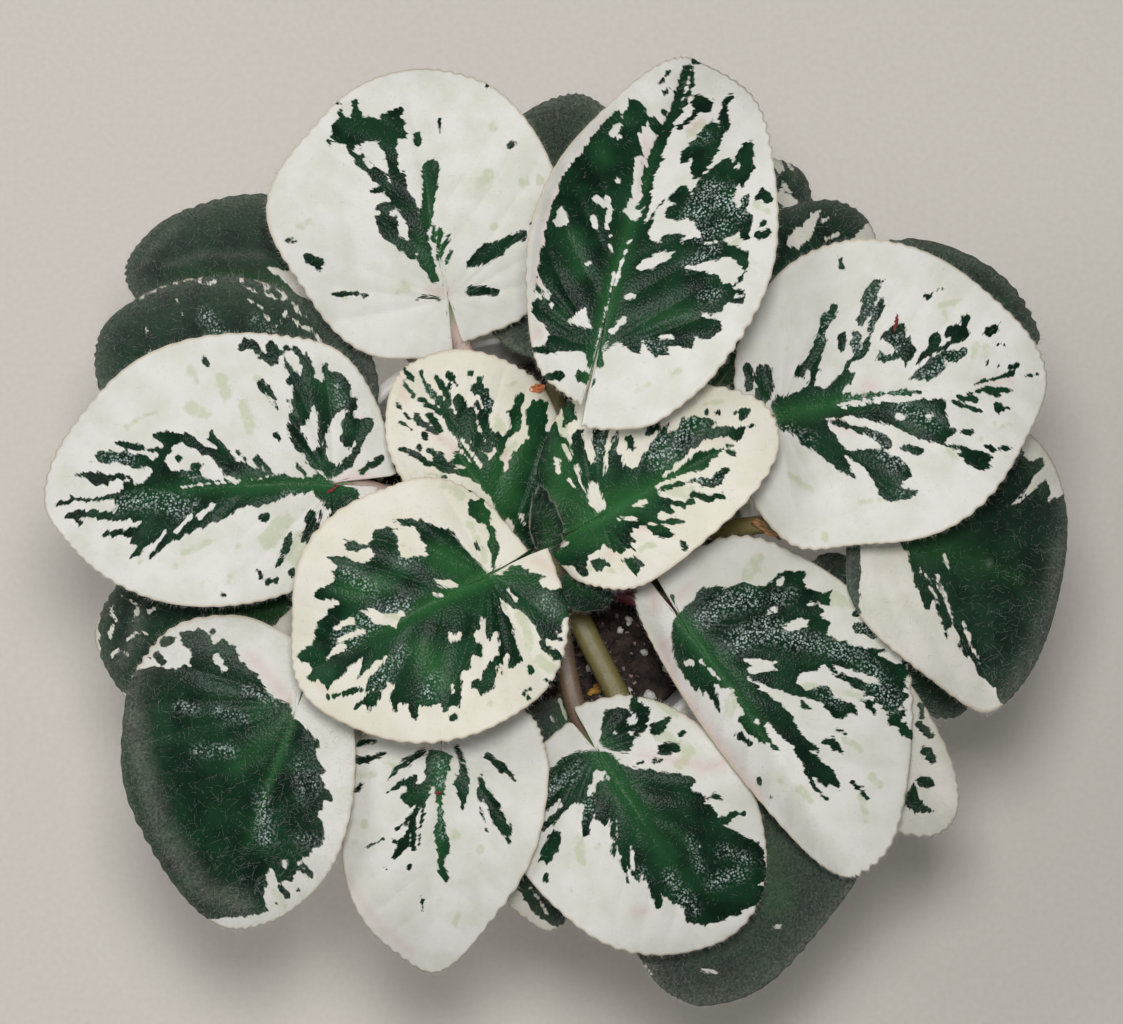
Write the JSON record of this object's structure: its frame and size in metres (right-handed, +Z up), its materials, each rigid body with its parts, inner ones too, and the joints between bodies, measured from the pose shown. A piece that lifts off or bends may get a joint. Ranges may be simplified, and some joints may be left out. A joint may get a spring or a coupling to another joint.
{
  "type": "potted african violet",
  "caption": "Variegated African violet rosette with round scalloped leaves on thick stalks, growing from a short crown in soil in a round white plastic pot.",
  "frame": {"origin": "centre of the pot's round base, on the face that the pot stands on", "axes": "+Z up along the pot's axis; the picture is seen from above, with its right as +X and its top as +Y"},
  "size_m": [0.2248, 0.2055, 0.1287],
  "materials": {
    "pot_plastic": "satin",
    "potting_soil": "matte",
    "crown_stem": "matte",
    "leaf_white_green": "satin",
    "leaf_cream_green": "satin",
    "leaf_dark_green": "satin"
  },
  "bodies": {
    "root": {"pot": "pot_plastic", "soil": "potting_soil", "crown": "crown_stem", "leaf_north_west": "leaf_white_green", "leaf_east": "leaf_white_green", "leaf_west": "leaf_white_green", "leaf_south": "leaf_white_green", "leaf_south_east": "leaf_white_green", "leaf_east_south": "leaf_white_green", "leaf_old_south_west": "leaf_white_green", "leaf_old_east_south": "leaf_white_green", "leaf_centre_east": "leaf_cream_green", "leaf_centre_north": "leaf_cream_green", "leaf_centre_west": "leaf_cream_green", "leaf_north": "leaf_dark_green", "leaf_south_west": "leaf_dark_green", "leaf_old_north_west": "leaf_dark_green", "leaf_old_west": "leaf_dark_green", "leaf_old_west_south": "leaf_dark_green", "leaf_old_north": "leaf_dark_green", "leaf_old_north_east": "leaf_dark_green", "leaf_old_east_north": "leaf_dark_green", "leaf_old_east_high": "leaf_dark_green", "leaf_old_east": "leaf_dark_green", "leaf_old_east_low": "leaf_dark_green", "leaf_old_south_east": "leaf_dark_green", "leaf_old_south": "leaf_dark_green", "leaf_young_north": "leaf_dark_green", "leaf_young_south_east": "leaf_dark_green"}
  },
  "joints": []
}
